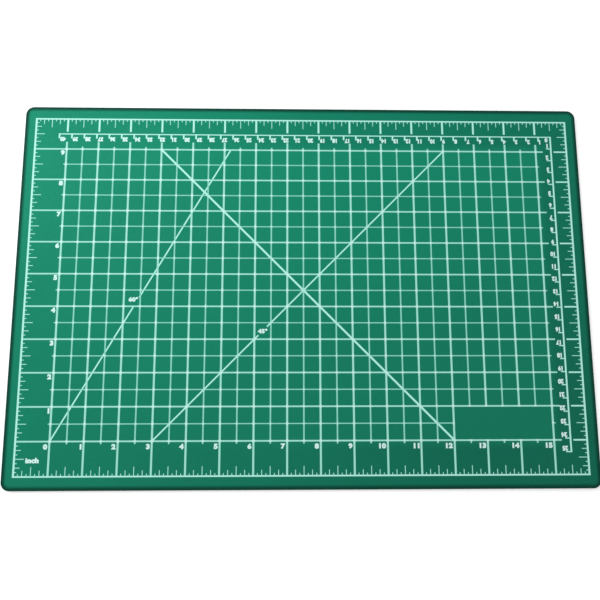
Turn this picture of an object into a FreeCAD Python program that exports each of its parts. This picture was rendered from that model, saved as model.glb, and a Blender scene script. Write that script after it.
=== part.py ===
import FreeCAD, Part
import os
import re
import Sketcher

# Cutting mat for craft knives: three plastic plies bonded into one flexible sheet, with a pale ink print
# on its upper face: a grid in inches, a ruler all round it, a scale in centimetres and three angle lines.
# X runs along the mat, Y across it and Z up. The origin is in the middle of the underside.

SIZES = {
    # bare edge outside the print, which sets how large the sheets are cut
    "end_margin": 9.1,
    "side_margin": 10.3,
    "corner_radius": 6.5,
    # the three plies, and the bevel that the cutting die leaves on the outer rims
    "bottom_sheet_thickness": 1.0,
    "core_sheet_thickness": 1.0,
    "top_sheet_thickness": 1.0,
    "rim_bevel": 0.4,
    # the print is one film of ink, as thick everywhere
    "ink_thickness": 0.05,
    # grid of one inch squares, with finer lines half way between: all upright lines are wider than level ones
    "grid_pitch": 25.4,
    "grid_columns": 15,
    "grid_rows": 9,
    "inch_upright_width": 1.5,
    "inch_level_width": 1.2,
    "half_upright_width": 1.15,
    "half_level_width": 0.85,
    "half_line_overhang": 2.1,
    # border line round the grid, with the ruler ticks that stand on its inner edge
    "ruler_band": 25.4,
    "border_upright_width": 1.45,
    "border_level_width": 1.15,
    "tick_width": 0.6,
    "eighth_tick_length": 1.5,
    "quarter_tick_length": 3.8,
    "half_tick_length": 6.5,
    # centimetre scale along the far edge and the right-hand end, with room for its figures
    "metric_inset": 12.7,
    "metric_pitch": 10.0,
    "metric_upright_width": 1.3,
    "metric_level_width": 0.85,
    "metric_tick_length": 3.3,
    "metric_clearance": 1.5,
    "figure_band": 2.9,
    # cells left without lines at the near right-hand corner of the grid
    "panel_columns": 3,
    "panel_rows": 1,
    # diagonals of the middle square and the steep line, two of them broken where a label stands
    "angle_line_width": 1.1,
    "falling_line_width": 1.5,
    "steep_angle": 60,
    "label_height": 7.0,
    "diagonal_label_row": 3.25,
    "steep_label_row": 4,
    # how far a cutting block stands out of what it cuts
    "cut_overrun": 1.0,
}

# Places worked out from the sizes: the middle of the outermost lines, and the heights of the plies.
GRID_END = "(grid_columns * grid_pitch / 2)"
GRID_SIDE = "(grid_rows * grid_pitch / 2)"
BORDER_END = "(grid_columns * grid_pitch / 2 + ruler_band)"
BORDER_SIDE = "(grid_rows * grid_pitch / 2 + ruler_band)"
CORE_UNDERSIDE = "bottom_sheet_thickness"
TOP_SHEET_UNDERSIDE = "bottom_sheet_thickness + core_sheet_thickness"
MAT_TOP = "bottom_sheet_thickness + core_sheet_thickness + top_sheet_thickness"

# How far the edges of the mat are turned from the near one, anticlockwise seen from above, and how far the
# diagonals of a square are turned from its sides.
RIGHT_ANGLE = "acos(0)"
NEAR_EDGE = f"0 * {RIGHT_ANGLE}"
RIGHT_END = RIGHT_ANGLE
FAR_EDGE = f"2 * {RIGHT_ANGLE}"
LEFT_END = f"3 * {RIGHT_ANGLE}"
RISING = f"{RIGHT_ANGLE} / 2"
FALLING = f"-{RIGHT_ANGLE} / 2"

doc = FreeCAD.newDocument("cutting_mat")
sheet = doc.addObject("Spreadsheet::Sheet", "Sizes")
for row, (alias, number) in enumerate(SIZES.items(), start=1):
    sheet.set("A%d" % row, alias)
    sheet.set("B%d" % row, str(number))
    sheet.setAlias("B%d" % row, alias)
doc.recompute()


def formula(text):
    """The text with the name of every size turned into a reference to its cell."""
    return re.sub(r"[a-z_]+", lambda word: "Sizes." + word[0] if word[0] in SIZES else word[0], text)


def bind(thing, places):
    """Tie properties of a document object to formulas in the named sizes."""
    for name, text in places.items():
        thing.setExpression(name, formula(text))


def new_body(label, height, turn=NEAR_EDGE):
    """An empty body whose sketches lie at a height above the underside, turned about the mat's middle."""
    body = doc.addObject("PartDesign::Body", label)
    body.Label = label
    bind(body, {"Placement.Base.z": height, "Placement.Rotation.Angle": turn})
    return body


def origin_feature(body, role):
    return next(feature for feature in body.Origin.OriginFeatures if feature.Role == role)


def rectangle(left, low, length, width):
    """Corners of a rectangle, from the place of its lower left one and from its sides."""
    right = f"{left} + {length}"
    high = f"{low} + {width}"
    return [(left, low), (right, low), (right, high), (left, high)]


def add_outline(sketch, corners):
    """A closed line of straight sides. It can start as any shape, because its corners are then bound."""
    first = sketch.GeometryCount
    count = len(corners)
    start = [FreeCAD.Vector(i, i * i) for i in range(count)]
    for i in range(count):
        sketch.addGeometry(Part.LineSegment(start[i], start[(i + 1) % count]))
    for i in range(count):
        sketch.addConstraint(Sketcher.Constraint("Coincident", first + i, 2, first + (i + 1) % count, 1))
    for i, corner in enumerate(corners):
        for direction, place in zip(("DistanceX", "DistanceY"), corner):
            index = sketch.addConstraint(Sketcher.Constraint(direction, -1, 1, first + i, 1, i))
            bind(sketch, {"Constraints[%d]" % index: place})


def plate(body, thickness, *outlines):
    """Outlines drawn in the body's own plane and raised to a thickness."""
    sketch = body.newObject("Sketcher::SketchObject", "outline")
    sketch.AttachmentSupport = (origin_feature(body, "XY_Plane"), [""])
    sketch.MapMode = "FlatFace"
    for corners in outlines:
        add_outline(sketch, corners)
    feature = body.newObject("PartDesign::Pad", "plate")
    feature.Profile = sketch
    feature.Refine = False
    bind(feature, {"Length": thickness})
    return feature


def row_along(body, role, pitch, count, backwards=False):
    """A row of copies along one axis of the body."""
    row = body.newObject("PartDesign::LinearPattern", "row")
    row.Direction = (origin_feature(body, role), [""])
    row.Reversed = backwards
    row.Mode = "Spacing"
    row.Refine = False
    bind(row, {"Offset": pitch, "Occurrences": count})
    return row


def repeat(body, feature, pitch, count, backwards=False):
    """Copies of a feature in a row along the body."""
    row = row_along(body, "X_Axis", pitch, count, backwards)
    row.Originals = [feature]
    body.Tip = row


def fill_cells(body, feature, columns, rows):
    """Copies of a feature in columns and rows, one to each cell of the grid."""
    field = body.newObject("PartDesign::MultiTransform", "field")
    field.Originals = [feature]
    field.Refine = False
    field.Transformations = [
        row_along(body, "X_Axis", "grid_pitch", columns),
        row_along(body, "Y_Axis", "grid_pitch", rows),
    ]
    body.Tip = field


def trim(body, kind, feature, names, sizes):
    """A fillet or a chamfer on the named edges, or on every edge of a named face."""
    trimmed = body.newObject(f"PartDesign::{kind}", "trimmed")
    trimmed.Base = (feature, names)
    bind(trimmed, sizes)
    doc.recompute()
    return trimmed


def cut(label, base, *tools):
    """What is left of a piece where others have taken its place."""
    for tool in tools:
        rest = doc.addObject("Part::Cut", "rest")
        rest.Base = base
        rest.Tool = tool
        base = rest
    base.Label = label
    return base


def together(label, bodies):
    """Bodies that lie side by side, kept as one node."""
    node = doc.addObject("Part::Compound", label)
    node.Links = bodies
    node.Label = label
    return node


def stands_up(edge):
    box = edge.BoundBox
    return box.ZLength > box.XLength + box.YLength


def ply(label, underside, thickness, choose_free_face=None):
    """One sheet of the laminate, with round corners. An outer sheet has the rim of its free face bevelled."""
    body = new_body(label, underside)
    half_length = f"({BORDER_END} + end_margin)"
    half_width = f"({BORDER_SIDE} + side_margin)"
    outline = rectangle(f"-{half_length}", f"-{half_width}", f"2 * {half_length}", f"2 * {half_width}")
    blank = plate(body, thickness, outline)
    doc.recompute()
    corners = ["Edge%d" % i for i, edge in enumerate(blank.Shape.Edges, start=1) if stands_up(edge)]
    sheet_blank = trim(body, "Fillet", blank, corners, {"Radius": "corner_radius"})
    if choose_free_face:
        heights = [face.CenterOfMass.z for face in sheet_blank.Shape.Faces]
        free_face = "Face%d" % (heights.index(choose_free_face(heights)) + 1)
        trim(body, "Chamfer", sheet_blank, [free_face], {"Size": "rim_bevel"})
    return body


def border_line():
    """The frame that the rulers stand on."""
    body = new_body("border_line", MAT_TOP)
    outlines = []
    for sign in "+-":
        end = f"({BORDER_END} {sign} border_upright_width / 2)"
        side = f"({BORDER_SIDE} {sign} border_level_width / 2)"
        outlines.append(rectangle(f"-{end}", f"-{side}", f"2 * {end}", f"2 * {side}"))
    plate(body, "ink_thickness", *outlines)
    return body


def metric_band(line_width):
    """How deep the band inside the border is where grid lines make room for a centimetre scale."""
    return f"(metric_inset + {line_width} / 2 + metric_tick_length + figure_band)"


def line_field(label, *groups):
    """Lines in one film. Each group gives its columns, its rows, and its outlines in the first cell."""
    bodies = []
    for columns, rows, *outlines in groups:
        body = new_body(f"{label}_group", MAT_TOP)
        fill_cells(body, plate(body, "ink_thickness", *outlines), columns, rows)
        bodies.append(body)
    return together(label, bodies)


def every_cell_but_the_panel(draw):
    """Groups of lines for the rows beside the bare panel and for the rows past it."""
    return [
        ("grid_columns - panel_columns", "panel_rows", *draw("0")),
        ("grid_columns", "grid_rows - panel_rows", *draw("panel_rows * grid_pitch")),
    ]


def inch_lines_upright():
    """Lines across the mat, from the border to the band of the centimetre scale. They are whole, but for
    those that would run through the bare panel."""
    width = "inch_upright_width"
    left = f"-{GRID_END} - {width} / 2"
    right = f"{GRID_END} - {width} / 2"
    low = f"(border_level_width / 2 - {BORDER_SIDE})"
    high = f"({BORDER_SIDE} - {metric_band('metric_level_width')})"
    panel_left = f"{GRID_END} - (panel_columns - 1) * grid_pitch - {width} / 2"
    panel_high = f"(panel_rows * grid_pitch - inch_level_width / 2 - {GRID_SIDE})"
    to_panel = "ruler_band + inch_level_width / 2 - border_level_width / 2"
    return line_field(
        "inch_lines_upright",
        ("grid_columns - panel_columns + 1", "1", rectangle(left, low, width, f"{high} - {low}")),
        ("panel_columns - 1", "1",
         rectangle(panel_left, low, width, to_panel),
         rectangle(panel_left, panel_high, width, f"{high} - {panel_high}")),
        ("1", "1", rectangle(right, low, width, f"{high} - {low}")))


def inch_lines_level():
    """Lines along the mat, in lengths that fit between the upright ones, with a run out at each end."""
    width = "inch_level_width"
    low = f"-{GRID_SIDE} - {width} / 2"
    left_length = "ruler_band - border_upright_width / 2 - inch_upright_width / 2"
    right_length = f"ruler_band - {metric_band('metric_upright_width')} - inch_upright_width / 2"
    return line_field(
        "inch_lines_level",
        ("grid_columns", "grid_rows + 1", rectangle(
            f"inch_upright_width / 2 - {GRID_END}", low, "grid_pitch - inch_upright_width", width)),
        ("1", "grid_rows + 1",
         rectangle(f"border_upright_width / 2 - {BORDER_END}", low, left_length, width),
         rectangle(f"{GRID_END} + inch_upright_width / 2", low, right_length, width)))


def half_inch_lines_upright():
    """Fine lines across the mat, in lengths that fit between the level inch lines, with stubs at the ends."""
    width = "half_upright_width"
    left = f"grid_pitch / 2 - {GRID_END} - {width} / 2"
    stub = "half_line_overhang - inch_level_width / 2"

    def length(shift):
        low = f"{shift} + inch_level_width / 2 - {GRID_SIDE}"
        return [rectangle(left, low, width, "grid_pitch - inch_level_width")]

    return line_field(
        "half_inch_lines_upright", *every_cell_but_the_panel(length),
        ("grid_columns", "1",
         rectangle(left, f"-{GRID_SIDE} - half_line_overhang", width, stub),
         rectangle(left, f"{GRID_SIDE} + inch_level_width / 2", width, stub)))


def half_inch_lines_level():
    """Fine lines along the mat, in lengths that fit between all the upright ones, with stubs at the ends."""
    width = "half_level_width"
    low = f"grid_pitch / 2 - {GRID_SIDE} - {width} / 2"
    stub = "half_line_overhang - inch_upright_width / 2"

    def lengths(shift):
        starts = [f"inch_upright_width / 2 - {GRID_END}",
                  f"(grid_pitch + half_upright_width) / 2 - {GRID_END}"]
        length = "(grid_pitch - inch_upright_width - half_upright_width) / 2"
        return [rectangle(start, f"{shift} + {low}", length, width) for start in starts]

    return line_field(
        "half_inch_lines_level", *every_cell_but_the_panel(lengths),
        ("1", "grid_rows",
         rectangle(f"-{GRID_END} - half_line_overhang", low, stub, width),
         rectangle(f"{GRID_END} + inch_upright_width / 2", low, stub, width)))


def ruler_ticks(label, turn, border, border_width, next_border_width, grid_half, cells):
    """Ticks at the half, quarter and eighth inches between the inch lines, all along one edge."""
    body = new_body(label, MAT_TOP, turn)
    room = f"(ruler_band - {next_border_width} / 2 - tick_width)"
    for ticks_per_cell, length in (
        (1, "half_tick_length"),
        (2, "quarter_tick_length"),
        (4, "eighth_tick_length"),
    ):
        step = f"(grid_pitch / {ticks_per_cell})"
        ticks_in_band = f"floor({room} / {step} + 1 / 2)"
        first = f"{step} / 2 - {grid_half} - {ticks_in_band} * {step}"
        tick = plate(body, "ink_thickness", rectangle(
            f"{first} - tick_width / 2", f"{border_width} / 2 - {border}", "tick_width", length))
        repeat(body, tick, step, f"{ticks_per_cell} * {cells} + 2 * {ticks_in_band}")
    return body


def inch_marks(label, turn, width, scale_width, border, border_width, grid_half, cells):
    """Inch lines taken up again in the ruler beyond the centimetre scale."""
    body = new_body(label, MAT_TOP, turn)
    length = f"metric_inset - {scale_width} / 2 - metric_clearance - {border_width} / 2"
    left = f"-{grid_half} - {width} / 2"
    low = f"{border_width} / 2 - {border}"
    mark = plate(body, "ink_thickness", rectangle(left, low, width, length))
    repeat(body, mark, "grid_pitch", f"{cells} + 1")
    return body


def metric_rule(label, turn, line, width, tick_width, start, length, first_tick, steps, backwards):
    """Line of a centimetre scale, with its ticks in a row on the inner side."""
    rule = new_body(f"{label}_line", MAT_TOP, turn)
    plate(rule, "ink_thickness", rectangle(start, f"{line} - {width} / 2", length, width))
    ticks = new_body(f"{label}_ticks", MAT_TOP, turn)
    tick = plate(ticks, "ink_thickness", rectangle(
        f"{first_tick} - {tick_width} / 2", f"{line} + {width} / 2", tick_width, "metric_tick_length"))
    repeat(ticks, tick, "metric_pitch", steps, backwards)
    return together(label, [rule, ticks])


def metric_rule_far():
    """Centimetre scale along the far edge, from the corner that it shares with the other one."""
    zero = f"(metric_inset - {BORDER_END})"
    steps = f"floor(-2 * {zero} / metric_pitch)"
    return metric_rule(
        "metric_rule_far", FAR_EDGE, f"(metric_inset - {BORDER_SIDE})",
        "metric_level_width", "metric_upright_width",
        start=f"{zero} - metric_upright_width / 2",
        length=f"{steps} * metric_pitch + metric_upright_width",
        first_tick=f"{zero} + metric_pitch", steps=steps, backwards=False)


def metric_rule_right():
    """Centimetre scale down the right-hand end, from the line of the far one."""
    zero = f"({BORDER_SIDE} - metric_inset)"
    steps = f"floor(2 * {zero} / metric_pitch)"
    return metric_rule(
        "metric_rule_right", RIGHT_END, f"(metric_inset - {BORDER_END})",
        "metric_upright_width", "metric_level_width",
        start=f"{zero} - {steps} * metric_pitch - metric_level_width / 2",
        length=f"{steps} * metric_pitch",
        first_tick=f"{zero} - metric_pitch", steps=steps, backwards=True)


def crossing_corner(upright, level):
    """Where a diagonal meets the corner of two crossing lines: the place along it and off its middle."""
    return f"sqrt(2) * ({upright} + {level}) / 4", f"sqrt(2) * ({upright} - {level}) / 4"


def diagonal(label, turn, width, tail_side, tip_side):
    """One diagonal of the square in the middle of the grid. It crosses every inch and half-inch line at a
    corner of its cells, so it is a row of strokes with pointed ends, two to each inch. Their points lie a
    little off the middle, to the sides given as 1 or -1, because the lines that cross differ in width."""
    body = new_body(label, MAT_TOP, turn)
    half_width = f"{width} / 2"
    inch_reach, inch_shift = crossing_corner("inch_upright_width", "inch_level_width")
    half_reach, half_shift = crossing_corner("half_upright_width", "half_level_width")
    corner = f"-sqrt(2) * {GRID_SIDE}"
    middle = f"{corner} + sqrt(2) * grid_pitch / 2"
    end = f"{corner} + sqrt(2) * grid_pitch"
    strokes = []
    for tail, tail_shift, tip, tip_shift in (
        (f"{corner} + {inch_reach}", inch_shift, f"{middle} - {half_reach}", half_shift),
        (f"{middle} + {half_reach}", half_shift, f"{end} - {inch_reach}", inch_shift),
    ):
        tail_point = f"{tail_side} * {tail_shift}"
        tip_point = f"{tip_side} * {tip_shift}"
        strokes.append([
            (tail, tail_point),
            (f"{tail} + {half_width} + {tail_point}", f"-{half_width}"),
            (f"{tip} - {half_width} - {tip_point}", f"-{half_width}"),
            (tip, tip_point),
            (f"{tip} - {half_width} + {tip_point}", half_width),
            (f"{tail} + {half_width} - {tail_point}", half_width)])
    repeat(body, plate(body, "ink_thickness", *strokes), "sqrt(2) * grid_pitch", "grid_rows")
    return body


def rising_diagonal():
    """The diagonal that carries a label, with a square window kept clear round it."""
    low = "(diagonal_label_row - grid_rows / 2) * grid_pitch - label_height / 2"
    window = doc.addObject("Part::Box", "label_window")
    bind(window, {
        "Length": "label_height",
        "Width": "label_height",
        "Height": "ink_thickness + 2 * cut_overrun",
        "Placement.Base.x": low,
        "Placement.Base.y": low,
        "Placement.Base.z": f"{MAT_TOP} - cut_overrun",
    })
    strokes = diagonal("rising_strokes", RISING, "angle_line_width", "(-1)", "1")
    return cut("diagonal_rising", strokes, window)


def crossing_bars():
    """Whole bars in the place of all the lines that the steep line crosses."""
    bars = []
    for upright, level, more, shift in (
        ("inch_upright_width", "inch_level_width", "+ 1", "0"),
        ("half_upright_width", "half_level_width", "", "grid_pitch / 2"),
    ):
        bars.append(line_field("upright_bars", (f"grid_columns {more}", "1", rectangle(
            f"{shift} - {GRID_END} - {upright} / 2", f"-{BORDER_SIDE}", upright, f"2 * {BORDER_SIDE}"))))
        bars.append(line_field("level_bars", ("1", f"grid_rows {more}", rectangle(
            f"-{BORDER_END}", f"{shift} - {GRID_SIDE} - {level} / 2", f"2 * {BORDER_END}", level))))
    falling = new_body("falling_bar", MAT_TOP, FALLING)
    plate(falling, "ink_thickness", rectangle(
        f"-sqrt(2) * {GRID_SIDE}", "-falling_line_width / 2",
        f"2 * sqrt(2) * {GRID_SIDE}", "falling_line_width"))
    return [*bars, falling]


def steep_line():
    """Line at a steep angle from the origin of the grid to its far side, broken above an inch line for its
    label. Other lines cross it at any place, and each of them takes its width out of it."""
    body = new_body("steep_stroke", MAT_TOP, "steep_angle")
    bind(body, {"Placement.Base.x": f"-{GRID_END}", "Placement.Base.y": f"-{GRID_SIDE}"})
    slope = "sin(steep_angle * 1 deg)"
    label_low = f"(steep_label_row * grid_pitch / {slope})"
    label_high = f"((steep_label_row * grid_pitch + label_height) / {slope})"
    top = f"(grid_rows * grid_pitch / {slope})"
    plate(body, "ink_thickness",
          rectangle("0", "-angle_line_width / 2", label_low, "angle_line_width"),
          rectangle(label_high, "-angle_line_width / 2", f"{top} - {label_high}", "angle_line_width"))
    return cut("steep_line", body, *crossing_bars())


# The border lines along and across the mat, the rows of cells beside them, and the rulers that they carry.
along_border = (BORDER_SIDE, "border_level_width")
across_border = (BORDER_END, "border_upright_width")
lengthwise = (GRID_END, "grid_columns")
crosswise = (GRID_SIDE, "grid_rows")
long_ruler = (*along_border, "border_upright_width", *lengthwise)
short_ruler = (*across_border, "border_level_width", *crosswise)
nodes = [
    ply("bottom_sheet", "0", "bottom_sheet_thickness", min),
    ply("core_sheet", CORE_UNDERSIDE, "core_sheet_thickness"),
    ply("top_sheet", TOP_SHEET_UNDERSIDE, "top_sheet_thickness", max),
    border_line(),
    inch_lines_upright(),
    inch_lines_level(),
    half_inch_lines_upright(),
    half_inch_lines_level(),
    rising_diagonal(),
    diagonal("diagonal_falling", FALLING, "falling_line_width", "1", "(-1)"),
    steep_line(),
    ruler_ticks("ruler_ticks_near", NEAR_EDGE, *long_ruler),
    ruler_ticks("ruler_ticks_right", RIGHT_END, *short_ruler),
    ruler_ticks("ruler_ticks_far", FAR_EDGE, *long_ruler),
    ruler_ticks("ruler_ticks_left", LEFT_END, *short_ruler),
    inch_marks(
        "inch_marks_far", FAR_EDGE, "inch_upright_width", "metric_level_width", *along_border, *lengthwise),
    inch_marks(
        "inch_marks_right", RIGHT_END, "inch_level_width", "metric_upright_width", *across_border, *crosswise),
    metric_rule_far(),
    metric_rule_right(),
]
doc.recompute()

for thing in doc.Objects:
    if "Invalid" in thing.State or "Error" in thing.State:
        raise RuntimeError("%s failed: %s" % (thing.Label, thing.State))
for node in nodes:
    if node.Shape.isNull() or not node.Shape.isValid():
        raise RuntimeError("%s has no sound shape" % node.Label)

os.makedirs("parts", exist_ok=True)
for node in nodes:
    node.Shape.exportStep("parts/%s.step" % node.Label)
    print("%-24s %4d solids %10.3f mm3" % (node.Label, len(node.Shape.Solids), node.Shape.Volume))
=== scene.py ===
import math
from collections import namedtuple

import bmesh
import bpy
from mathutils import Matrix, Vector


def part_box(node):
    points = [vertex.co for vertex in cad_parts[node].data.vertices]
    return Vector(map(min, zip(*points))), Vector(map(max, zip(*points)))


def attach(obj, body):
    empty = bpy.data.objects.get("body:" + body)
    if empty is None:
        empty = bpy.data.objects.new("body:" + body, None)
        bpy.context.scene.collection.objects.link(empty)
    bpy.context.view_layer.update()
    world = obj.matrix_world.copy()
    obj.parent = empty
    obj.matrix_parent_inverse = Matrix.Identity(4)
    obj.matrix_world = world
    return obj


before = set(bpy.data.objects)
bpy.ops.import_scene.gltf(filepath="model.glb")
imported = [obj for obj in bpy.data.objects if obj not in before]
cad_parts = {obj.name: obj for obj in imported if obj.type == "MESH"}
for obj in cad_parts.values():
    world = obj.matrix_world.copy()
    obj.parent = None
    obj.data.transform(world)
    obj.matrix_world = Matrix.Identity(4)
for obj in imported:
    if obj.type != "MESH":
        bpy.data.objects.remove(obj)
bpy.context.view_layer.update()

# Looks for a craft cutting mat that lies on a white floor and is seen from above. Lengths are in metres.
# The plies, the lines and the ticks come from the frame. The figures of the print are added here.

MILLIMETRE = 0.001
INCH = 0.0254
CENTIMETRE = 0.01

# Places read from the frame.
_, SHEET_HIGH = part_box("top_sheet")
FILM_LOW, FILM_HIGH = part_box("border_line")
HALF_LENGTH = SHEET_HIGH.x
HALF_WIDTH = SHEET_HIGH.y
MAT_TOP = SHEET_HIGH.z
INK_THICKNESS = FILM_HIGH.z - FILM_LOW.z

# The print, as a printer would set it out.
GRID_COLUMNS = 15
GRID_ROWS = 9
GRID_LEFT = -GRID_COLUMNS * INCH / 2
GRID_NEAR = -GRID_ROWS * INCH / 2
METRIC_LEFT = -(GRID_COLUMNS + 1) * INCH / 2
METRIC_NEAR = -(GRID_ROWS + 1) * INCH / 2
METRIC_LENGTH_STEPS = 40
METRIC_WIDTH_STEPS = 25

# Where figures stand: a gap to one side of the mark that they count, and a drop below it or a rise above it.
INCH_FIGURE_GAP = 1.4 * MILLIMETRE
NEAR_FIGURE_DROP = 3.9 * MILLIMETRE
LEFT_FIGURE_DROP = 3.0 * MILLIMETRE
FAR_FIGURE_GAP = 0.7 * MILLIMETRE
FAR_FIGURE_RISE = 4.3 * MILLIMETRE
RIGHT_FIGURE_GAP = 2.4 * MILLIMETRE
RIGHT_FIGURE_DROP = 2.5 * MILLIMETRE
ZERO_GAP = 4.6 * MILLIMETRE
ZERO_RISE = 2.5 * MILLIMETRE
DIAGONAL_FIGURE_PLACE = (-28.0 * MILLIMETRE, -31.8 * MILLIMETRE)
STEEP_FIGURE_PLACE = (-128.6 * MILLIMETRE, -7.3 * MILLIMETRE)
UNIT_WORD_PLACE = (-197.6 * MILLIMETRE, -128.0 * MILLIMETRE)

# The type that each set of figures is printed in: its height, and its breadth and spacing against those of
# plain letters.
Type = namedtuple("Type", "height breadth spacing")
INCH_TYPE = Type(4.0 * MILLIMETRE, 1.18, 1.08)
METRIC_TYPE = Type(3.7 * MILLIMETRE, 0.93, 1.0)
ANGLE_TYPE = Type(3.6 * MILLIMETRE, 1.18, 1.08)
UNIT_TYPE = Type(3.9 * MILLIMETRE, 1.18, 1.08)

# All of it is bold: the strokes are swelled by a share of the letter size. Letters are cut one unit deep and
# then pressed down to their film, which is a little thinner than that of the lines.
STROKE_SWELL = 0.07
LETTER_DEPTH = 1.0
FIGURE_FILM_SHARE = 0.8
CURVE_STEPS = 5
WELD_REACH = 0.001 * MILLIMETRE
RIGHT_SIDE, LEFT_SIDE = 1, -1

# The mat turned half round: the centimetre scale is read from the far side.
HALF_TURN = Matrix.Rotation(math.pi, 4, "Z")

# The vinyl from the outline inwards: round corners, a dark rim of painted shade along the edge, then the
# rulers' band, which gets painted shade towards its right end, darker than the working surface under the
# grid.
CORNER_RADIUS = 6.5 * MILLIMETRE
RIM_DARKEST = 1.3 * MILLIMETRE
RIM_WIDTH = 4.4 * MILLIMETRE
BAND_INNER_EDGE = 28 * MILLIMETRE
GRID_OUTER_EDGE = 38 * MILLIMETRE
# Painted shade: the rim's dark green stands for the shade on the rounded edge.
RIM_SHADE_GREEN = (0.0015, 0.045, 0.028, 1.0)
# Painted shade runs from the far green to the near one, with a little random tone between them.
FAR_GREEN = (0.0075, 0.268, 0.157, 1.0)
NEAR_GREEN = (0.0075, 0.188, 0.110, 1.0)
# Painted shade for the ruler band, full at its right end.
BAND_PAINTED_SHADE = (0.75, 0.75, 0.77, 1.0)
RIM_SHADE_COVER = 0.95

# The colour of the vinyl: mostly painted shade, darker from the far side to the near one as the window's
# light falls off, and a little of a tone made of clouds, mottle and pores.
FALLOFF_ALONG_SHARE = 0.2
FALLOFF_WEIGHT, TONE_WEIGHT = 0.75, 0.25
CLOUD_SIZE, CLOUD_SHARE = 90 * MILLIMETRE, 0.55
MOTTLE_SIZE, MOTTLE_SHARE = 3 * MILLIMETRE, 0.3
PORE_SIZE, PORE_SHARE = 0.22 * MILLIMETRE, 0.15
ROUGH_DETAIL, PLAIN_DETAIL, SMOOTH_DETAIL = 3.0, 2.0, 1.0
TONE_RANGE = 0.3, 0.7

# The feel of the vinyl: a pressed grain with pores in it, and hardly any shine.
GRAIN_SIZE = 0.55 * MILLIMETRE
GRAIN_SMOOTHNESS = 0.6
GRAIN_RELIEF, PORE_RELIEF = 0.7, 0.3
GRAIN_STRENGTH = 0.35
GRAIN_DEPTH = 0.05 * MILLIMETRE
NOISE_RANGE = 0.2, 0.8
VINYL_ROUGHNESS = 0.52, 0.66
VINYL_SHINE = 0.06

# The core, with knife marks drawn out upright.
CORE_GREENS = (0.010, 0.080, 0.052, 1.0), (0.020, 0.120, 0.080, 1.0)
MARK_STRETCH = (1.0, 1.0, 0.1)
MARK_SIZE, MARK_SHARE = 0.4 * MILLIMETRE, 0.6
CORE_MOTTLE_SIZE, CORE_MOTTLE_SHARE = 2 * MILLIMETRE, 0.4
MARK_STRENGTH = 0.5
MARK_DEPTH = 0.05 * MILLIMETRE
CORE_ROUGHNESS = 0.65, 0.8
CORE_SHINE = 0.2

# The inks, each in a deeper tone and a paler one: the paler where the ink lies full and where painted light
# brightens it towards the near right. Fine lines take less ink, and it pools where the lines of the grid
# cross.
RULER_INK = (0.40, 0.84, 0.73, 1.0), (0.49, 0.96, 0.85, 1.0)
TICK_INK = (0.32, 0.75, 0.63, 1.0), (0.41, 0.87, 0.74, 1.0)
INCH_LINE_INK = (0.29, 0.70, 0.58, 1.0), (0.38, 0.84, 0.71, 1.0)
HALF_INCH_LINE_INK = (0.20, 0.60, 0.48, 1.0), (0.28, 0.73, 0.60, 1.0)
SLANT_LINE_INK = (0.40, 0.87, 0.76, 1.0), (0.48, 0.97, 0.88, 1.0)
FIGURE_INK = (0.60, 0.93, 0.86, 1.0), (0.74, 0.99, 0.94, 1.0)
INCH_LINE_POOL = (0.58, 0.93, 0.85, 1.0)
HALF_INCH_LINE_POOL = (0.42, 0.85, 0.74, 1.0)
POOL_MIDDLE = 0.5 * MILLIMETRE
POOL_REACH = 2.0 * MILLIMETRE
POOLS_FROM = 33 * MILLIMETRE

# How evenly the ink lies: fine specks and slow waves; and painted light, paler towards the near right.
SPECK_SIZE, SPECK_SHARE = 0.3 * MILLIMETRE, 0.6
WAVE_SIZE, WAVE_SHARE = 14 * MILLIMETRE, 0.4
EVENNESS_RANGE = 0.32, 0.52
EVENNESS_WEIGHT, PAINTED_LIGHT_WEIGHT = 0.4, 0.6
SPECK_STRENGTH = 0.3
SPECK_DEPTH = 0.02 * MILLIMETRE
INK_ROUGHNESS = 0.5, 0.62
INK_SHINE = 0.2

# The photographer's place, lens and aim.
CAMERA_PLACE = Vector((-15.36, -41.30, 352.94)) * MILLIMETRE
CAMERA_TURN_DEGREES = (6.504, -0.887, -0.005)
LENS_MM = 27.0
SENSOR_MM = 36.0
FRAME_SHIFT = (0.01536, -0.01325)
NEAREST_SEEN = 0.01

# A soft window light at the far left, over an even pale room.
WINDOW_PLACE = Vector((-0.50, 0.38, 0.62))
WINDOW_AIM = Vector((-0.05, 0.02, 0.0))
WINDOW_SIZE = 0.5
WINDOW_POWER = 4.2
ROOM_LIGHT = 0.56
FLOOR_REACH = 4.0
FLOOR_DROP = 0.1 * MILLIMETRE
FLOOR_GLOW = 0.36
SHADOW_REACH = 0.33
WHITE_FROM = 0.7
FLOOR_WHITE = (0.9, 0.9, 0.9, 1.0)
WHITE = (1.0, 1.0, 1.0, 1.0)


class Signal:
    """A node's output used in an expression: each operation adds one Math node."""

    def __init__(self, finish, node, output=0):
        self.finish = finish
        self.node = node
        self.output = output

    def part(self, output):
        """Another output of the same node."""
        return Signal(self.finish, self.node, output)

    def operate(self, operation, *values):
        return self.finish.node("ShaderNodeMath", {"operation": operation}, dict(enumerate(values)))

    def __add__(self, other):
        return self.operate("ADD", self, other)

    def __sub__(self, other):
        return self.operate("SUBTRACT", self, other)

    def __mul__(self, other):
        return self.operate("MULTIPLY", self, other)

    def __rsub__(self, other):
        return self.operate("SUBTRACT", other, self)

    def __abs__(self):
        return self.operate("ABSOLUTE", self)

    def at_most(self, other):
        return self.operate("MINIMUM", self, other)

    def at_least(self, other):
        return self.operate("MAXIMUM", self, other)

    def root(self):
        return self.operate("SQRT", self)

    def from_nearest(self, pitch):
        """How far the value is from the nearest whole multiple of a pitch."""
        return self.operate("PINGPONG", self, pitch / 2)


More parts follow.
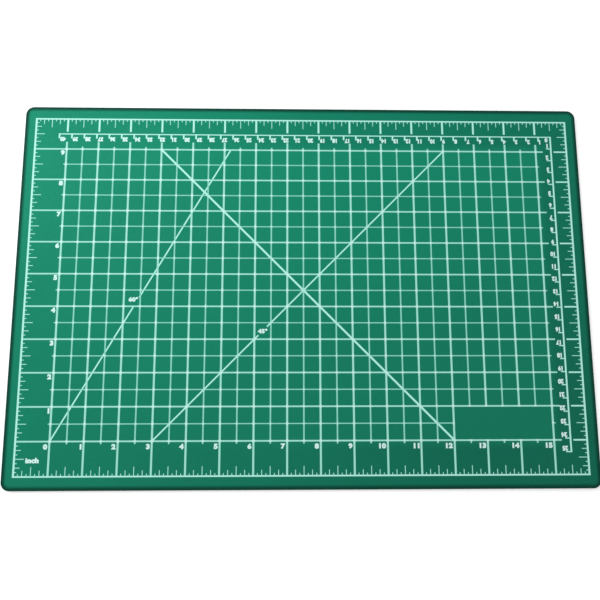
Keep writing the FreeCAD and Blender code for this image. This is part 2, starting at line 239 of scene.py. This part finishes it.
class Finish:
    """A material or a world with an empty node tree, and one method that adds any node to it."""

    # The Mix node has sockets of one name for every type of data, so those for colours go by number.
    MIX_SHARE, MIX_FIRST, MIX_SECOND, MIX_RESULT = 0, 6, 7, 2

    def __init__(self, block):
        block.use_nodes = True
        self.block = block
        self.tree = block.node_tree
        self.tree.nodes.clear()

    def node(self, kind, settings=None, sockets=None):
        added = self.tree.nodes.new(kind)
        for name, value in (settings or {}).items():
            setattr(added, name, value)
        for name, value in (sockets or {}).items():
            if isinstance(value, Signal):
                self.tree.links.new(value.node.outputs[value.output], added.inputs[name])
            else:
                added.inputs[name].default_value = value
        return Signal(self, added)

    def place(self):
        """Where a point is on the mat, in metres."""
        return self.node("ShaderNodeTexCoord").part("Object")

    def noise(self, place, size, detail=PLAIN_DETAIL):
        """Even noise from 0 to 1 whose patches are about as large as the given size."""
        return self.node("ShaderNodeTexNoise", sockets={"Vector": place, "Scale": 1 / size, "Detail": detail})

    def ramp(self, value, low, high, to_low=0.0, to_high=1.0):
        """A smooth step from one level to another as the value goes from low to high."""
        return self.node("ShaderNodeMapRange", {"interpolation_type": "SMOOTHSTEP"}, {
            "Value": value, "From Min": low, "From Max": high, "To Min": to_low, "To Max": to_high})

    def blend(self, share, first, second, way="MIX"):
        """A colour between two others, or the first one changed by the second in another way."""
        settings = {"data_type": "RGBA", "blend_type": way}
        sockets = {self.MIX_SHARE: share, self.MIX_FIRST: first, self.MIX_SECOND: second}
        return self.node("ShaderNodeMix", settings, sockets).part(self.MIX_RESULT)

    def close(self, kind, shader):
        self.node(kind, sockets={"Surface": shader})
        return self.block


def new_finish(name):
    return Finish(bpy.data.materials.new(name))


def distance_inside(finish, place):
    """How far inside the mat's outline a point lies: the outline is a rectangle with round corners."""
    parts = finish.node("ShaderNodeSeparateXYZ", sockets={0: place})
    along = abs(parts.part("X")) - (HALF_LENGTH - CORNER_RADIUS)
    across = abs(parts.part("Y")) - (HALF_WIDTH - CORNER_RADIUS)
    beyond_along = along.at_least(0.0)
    beyond_across = across.at_least(0.0)
    corner = (beyond_along * beyond_along + beyond_across * beyond_across).root()
    side = along.at_least(across).at_most(0.0)
    return CORNER_RADIUS - corner - side


def towards_near_right(finish, place, along_share=1.0):
    """A slow rise from 0 at the far left corner of the mat to 1 at the near right one. A small share for the
    way along the mat makes it mostly a rise from the far side to the near one."""
    parts = finish.node("ShaderNodeSeparateXYZ", sockets={0: place})
    reach = HALF_LENGTH * along_share + HALF_WIDTH
    return finish.ramp(parts.part("X") * along_share - parts.part("Y"), -reach, reach)


def at_crossings(finish, place):
    """One where two lines of the grid cross, down to zero a little way along each line, and zero in the
    rulers' band."""
    parts = finish.node("ShaderNodeSeparateXYZ", sockets={0: place})
    along = parts.part("X").from_nearest(INCH / 2)
    across = parts.part("Y").from_nearest(INCH / 2)
    crossing = finish.ramp(along.at_least(across), POOL_MIDDLE, POOL_REACH, 1.0, 0.0)
    return crossing * finish.ramp(distance_inside(finish, place), BAND_INNER_EDGE, POOLS_FROM)


def sheet_vinyl():
    """Soft green vinyl: a fine pressed grain, slight clouds, and painted shade at the near side, rim and
    ruler band.
    """
    finish = new_finish("sheet_vinyl")
    place = finish.place()
    clouds = finish.noise(place, CLOUD_SIZE, ROUGH_DETAIL)
    mottle = finish.noise(place, MOTTLE_SIZE, ROUGH_DETAIL)
    grain = finish.node("ShaderNodeTexVoronoi", {"feature": "SMOOTH_F1"}, {
        "Vector": place, "Scale": 1 / GRAIN_SIZE, "Smoothness": GRAIN_SMOOTHNESS})
    pores = finish.noise(place, PORE_SIZE, SMOOTH_DETAIL)
    # Painted shade: the green darkens from the far side to the near one, as the window's light falls off.
    painted_falloff = towards_near_right(finish, place, FALLOFF_ALONG_SHARE)
    inside = distance_inside(finish, place)
    # Painted shade: a dark band along the outline, as if the rounded edge lay in shade.
    painted_rim_shade = finish.ramp(inside, RIM_DARKEST, RIM_WIDTH, 1.0, 0.0)
    along = finish.node("ShaderNodeSeparateXYZ", sockets={0: place}).part("X")
    rulers = finish.ramp(inside, BAND_INNER_EDGE, GRID_OUTER_EDGE, 1.0, 0.0)
    # Painted shade: the ruler band darkens towards the right end, where less light falls.
    painted_band_shade = rulers * finish.ramp(along, -HALF_LENGTH, HALF_LENGTH)
    mixed = clouds * CLOUD_SHARE + mottle * MOTTLE_SHARE + pores * PORE_SHARE
    tone = finish.ramp(mixed, *TONE_RANGE)
    green = finish.blend(painted_falloff * FALLOFF_WEIGHT + tone * TONE_WEIGHT, FAR_GREEN, NEAR_GREEN)
    shaded = finish.blend(painted_band_shade, green, BAND_PAINTED_SHADE, "MULTIPLY")
    colour = finish.blend(painted_rim_shade * RIM_SHADE_COVER, shaded, RIM_SHADE_GREEN)
    relief = finish.node("ShaderNodeBump", sockets={
        "Strength": GRAIN_STRENGTH, "Distance": GRAIN_DEPTH,
        "Height": grain * GRAIN_RELIEF + pores * PORE_RELIEF})
    shader = finish.node("ShaderNodeBsdfPrincipled", sockets={
        "Base Color": colour,
        "Roughness": finish.ramp(mottle, *NOISE_RANGE, *VINYL_ROUGHNESS),
        "Specular IOR Level": VINYL_SHINE,
        "Normal": relief,
    })
    return finish.close("ShaderNodeOutputMaterial", shader)


def core_vinyl():
    """The harder ply, which shows only as a dull band in the cut edge, with fine upright knife marks."""
    finish = new_finish("core_vinyl")
    place = finish.place()
    stretched = finish.node("ShaderNodeMapping", sockets={"Vector": place, "Scale": MARK_STRETCH})
    marks = finish.noise(stretched, MARK_SIZE)
    mottle = finish.noise(place, CORE_MOTTLE_SIZE)
    tone = finish.ramp(marks * MARK_SHARE + mottle * CORE_MOTTLE_SHARE, *TONE_RANGE)
    relief = finish.node("ShaderNodeBump", sockets={
        "Strength": MARK_STRENGTH, "Distance": MARK_DEPTH, "Height": marks})
    shader = finish.node("ShaderNodeBsdfPrincipled", sockets={
        "Base Color": finish.blend(tone, *CORE_GREENS),
        "Roughness": finish.ramp(marks, *NOISE_RANGE, *CORE_ROUGHNESS),
        "Specular IOR Level": CORE_SHINE,
        "Normal": relief,
    })
    return finish.close("ShaderNodeOutputMaterial", shader)


def pale_ink(name, thin, full, pooled=None):
    """Screen-printed ink: a pale film with fine specks and slow waves, with painted light that makes it paler
    from the far left corner to the near right one, and ink that may pool at the grid's crossings."""
    finish = new_finish(name)
    place = finish.place()
    specks = finish.noise(place, SPECK_SIZE)
    waves = finish.noise(place, WAVE_SIZE)
    evenness = finish.ramp(specks * SPECK_SHARE + waves * WAVE_SHARE, *EVENNESS_RANGE)
    # Painted light: the ink grows paler towards the near right, against the fall-off of the window's light.
    cover_and_painted_light = evenness * EVENNESS_WEIGHT + towards_near_right(finish, place) * PAINTED_LIGHT_WEIGHT
    colour = finish.blend(cover_and_painted_light, thin, full)
    if pooled:
        colour = finish.blend(at_crossings(finish, place), colour, pooled)
    relief = finish.node("ShaderNodeBump", sockets={
        "Strength": SPECK_STRENGTH, "Distance": SPECK_DEPTH, "Height": specks})
    shader = finish.node("ShaderNodeBsdfPrincipled", sockets={
        "Base Color": colour,
        "Roughness": finish.ramp(specks, *NOISE_RANGE, *INK_ROUGHNESS),
        "Specular IOR Level": INK_SHINE,
        "Normal": relief,
    })
    return finish.close("ShaderNodeOutputMaterial", shader)


def lettering(text, kind):
    """A thin solid of figures in one kind of type, with the middle of its underside at the origin."""
    curve = bpy.data.curves.new("lettering", "FONT")
    curve.body = text
    curve.offset = STROKE_SWELL
    curve.space_character = kind.spacing
    curve.resolution_u = CURVE_STEPS
    curve.extrude = LETTER_DEPTH / 2
    writer = bpy.data.objects.new("lettering", curve)
    bpy.context.scene.collection.objects.link(writer)
    shapes = bpy.context.evaluated_depsgraph_get()
    mesh = bpy.data.meshes.new_from_object(writer.evaluated_get(shapes))
    bpy.data.objects.remove(writer)
    low, high = corners(mesh)
    scale = kind.height / (high.y - low.y)
    middle = Vector(((low.x + high.x) / 2, (low.y + high.y) / 2, low.z))
    film = INK_THICKNESS * FIGURE_FILM_SHARE / LETTER_DEPTH
    mesh.transform(Matrix.Diagonal((scale * kind.breadth, scale, film, 1.0)) @ Matrix.Translation(-middle))
    return mesh


def corners(mesh):
    places = [vertex.co for vertex in mesh.vertices]
    return (Vector([min(place[axis] for place in places) for axis in range(3)]),
            Vector([max(place[axis] for place in places) for axis in range(3)]))


def lies_level(face):
    heights = [vertex.co.z for vertex in face.verts]
    return max(heights) - min(heights) < WELD_REACH


def even_out_caps(joined):
    """Turn the edges inside the upper and lower faces of figures, so that no triangle is left without
    area."""
    caps = [face for face in joined.faces if lies_level(face)]
    inside = [edge for edge in joined.edges if all(lies_level(face) for face in edge.link_faces)]
    bmesh.ops.beautify_fill(joined, faces=caps, edges=inside, method="AREA")


def figures(name, marks, kind, ink, side=RIGHT_SIDE, turn=Matrix.Identity(4)):
    """One printed piece made of figures. Each mark is a text and the place of the middle of its given
    side."""
    joined = bmesh.new()
    for text, along, level in marks:
        mesh = lettering(text, kind)
        half_width = max(vertex.co.x for vertex in mesh.vertices)
        mesh.transform(turn @ Matrix.Translation((along - side * half_width, level, MAT_TOP)))
        joined.from_mesh(mesh)
        bpy.data.meshes.remove(mesh)
    bmesh.ops.remove_doubles(joined, verts=joined.verts, dist=WELD_REACH)
    even_out_caps(joined)
    data = bpy.data.meshes.new(name)
    joined.to_mesh(data)
    joined.free()
    data.materials.append(ink)
    piece = bpy.data.objects.new(name, data)
    bpy.context.scene.collection.objects.link(piece)
    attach(piece, "root")


def print_figures(ink):
    """All the figures of the print, beside the marks that they count."""
    beside_grid = GRID_LEFT - INCH_FIGURE_GAP
    figures("inch_figures_near", [
        (str(count), beside_grid + count * INCH, GRID_NEAR - NEAR_FIGURE_DROP)
        for count in range(GRID_COLUMNS + 1)], INCH_TYPE, ink)
    figures("inch_figures_left", [
        (str(count), beside_grid, GRID_NEAR + count * INCH - LEFT_FIGURE_DROP)
        for count in range(1, GRID_ROWS + 1)], INCH_TYPE, ink)
    zero = ("0", METRIC_LEFT + ZERO_GAP, METRIC_NEAR + ZERO_RISE)
    figures("metric_figures_far", [zero] + [
        (str(count), METRIC_LEFT + count * CENTIMETRE - FAR_FIGURE_GAP, METRIC_NEAR + FAR_FIGURE_RISE)
        for count in range(1, METRIC_LENGTH_STEPS + 1)], METRIC_TYPE, ink, turn=HALF_TURN)
    figures("metric_figures_right", [
        (str(count), METRIC_LEFT + RIGHT_FIGURE_GAP, METRIC_NEAR + count * CENTIMETRE - RIGHT_FIGURE_DROP)
        for count in range(1, METRIC_WIDTH_STEPS + 1)], METRIC_TYPE, ink, LEFT_SIDE, HALF_TURN)
    figures("angle_figures", [
        ("45\N{DEGREE SIGN}", *DIAGONAL_FIGURE_PLACE),
        ("60\N{DEGREE SIGN}", *STEEP_FIGURE_PLACE)], ANGLE_TYPE, ink)
    figures("unit_word", [("inch", *UNIT_WORD_PLACE)], UNIT_TYPE, ink)


def finish_nodes():
    """Every piece of the frame gets the finish of what it is made of."""
    vinyl = sheet_vinyl()
    ruler = pale_ink("ruler_ink", *RULER_INK)
    ticks = pale_ink("tick_ink", *TICK_INK)
    inch_lines = pale_ink("inch_line_ink", *INCH_LINE_INK, INCH_LINE_POOL)
    half_inch_lines = pale_ink("half_inch_line_ink", *HALF_INCH_LINE_INK, HALF_INCH_LINE_POOL)
    slant_lines = pale_ink("slant_line_ink", *SLANT_LINE_INK, INCH_LINE_POOL)
    finishes = {
        "bottom_sheet": vinyl,
        "core_sheet": core_vinyl(),
        "top_sheet": vinyl,
        "border_line": ruler,
        "inch_lines_upright": inch_lines,
        "inch_lines_level": inch_lines,
        "half_inch_lines_upright": half_inch_lines,
        "half_inch_lines_level": half_inch_lines,
        "diagonal_rising": slant_lines,
        "diagonal_falling": slant_lines,
        "steep_line": slant_lines,
        "ruler_ticks_near": ticks,
        "ruler_ticks_right": ticks,
        "ruler_ticks_far": ticks,
        "ruler_ticks_left": ticks,
        "inch_marks_far": ruler,
        "inch_marks_right": ruler,
        "metric_rule_far": ruler,
        "metric_rule_right": ruler,
    }
    for name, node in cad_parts.items():
        node.data.materials.clear()
        node.data.materials.append(finishes[name])


def seen_directly(finish):
    """One for what the camera sees itself, or sees in a gloss or through glass, and zero for other light."""
    path = finish.node("ShaderNodeLightPath")
    shown = path.part("Is Camera Ray").at_least(path.part("Is Glossy Ray"))
    return shown.at_least(path.part("Is Transmission Ray"))


def white_floor():
    """A wide white floor that takes the mat's soft shadow, and goes over into the white room further off."""
    finish = new_finish("white_floor")
    paint = finish.node("ShaderNodeBsdfDiffuse", sockets={"Color": FLOOR_WHITE})
    glow = finish.node("ShaderNodeEmission", sockets={"Color": WHITE, "Strength": FLOOR_GLOW})
    bright = finish.node("ShaderNodeAddShader", sockets={0: paint, 1: glow})
    far_off = finish.node("ShaderNodeVectorMath", {"operation": "LENGTH"}, {0: finish.place()}).part("Value")
    plain = finish.node("ShaderNodeEmission", sockets={"Color": WHITE})
    shown = finish.node("ShaderNodeMixShader", sockets={
        0: finish.ramp(far_off, SHADOW_REACH, WHITE_FROM), 1: bright, 2: plain})
    shader = finish.node("ShaderNodeMixShader", sockets={0: seen_directly(finish), 1: paint, 2: shown})
    reach = FLOOR_REACH
    data = bpy.data.meshes.new("floor")
    data.from_pydata(
        [(-reach, -reach, -FLOOR_DROP), (reach, -reach, -FLOOR_DROP),
         (reach, reach, -FLOOR_DROP), (-reach, reach, -FLOOR_DROP)], [], [(0, 1, 2, 3)])
    data.materials.append(finish.close("ShaderNodeOutputMaterial", shader))
    floor = bpy.data.objects.new("floor", data)
    bpy.context.scene.collection.objects.link(floor)


def pale_room():
    """Even light from all round, behind which the camera sees plain white."""
    world = bpy.data.worlds.new("pale_room")
    bpy.context.scene.world = world
    finish = Finish(world)
    seen = seen_directly(finish)
    shader = finish.node("ShaderNodeBackground", sockets={
        "Color": WHITE, "Strength": seen * (1 - ROOM_LIGHT) + ROOM_LIGHT})
    finish.close("ShaderNodeOutputWorld", shader)


def window_light():
    lamp = bpy.data.lights.new("window", "AREA")
    lamp.shape = "DISK"
    lamp.size = WINDOW_SIZE
    lamp.energy = WINDOW_POWER
    window = bpy.data.objects.new("window", lamp)
    window.location = WINDOW_PLACE
    window.rotation_euler = (WINDOW_AIM - WINDOW_PLACE).to_track_quat("-Z", "Y").to_euler()
    bpy.context.scene.collection.objects.link(window)


def photographer():
    lens = bpy.data.cameras.new("photographer")
    lens.sensor_fit = "HORIZONTAL"
    lens.sensor_width = SENSOR_MM
    lens.lens = LENS_MM
    lens.shift_x, lens.shift_y = FRAME_SHIFT
    lens.clip_start = NEAREST_SEEN
    camera = bpy.data.objects.new("photographer", lens)
    camera.location = CAMERA_PLACE
    camera.rotation_euler = [math.radians(angle) for angle in CAMERA_TURN_DEGREES]
    bpy.context.scene.collection.objects.link(camera)
    bpy.context.scene.camera = camera


finish_nodes()
print_figures(pale_ink("figure_ink", *FIGURE_INK))
white_floor()
pale_room()
window_light()
photographer()
bpy.context.scene.view_settings.view_transform = "Standard"
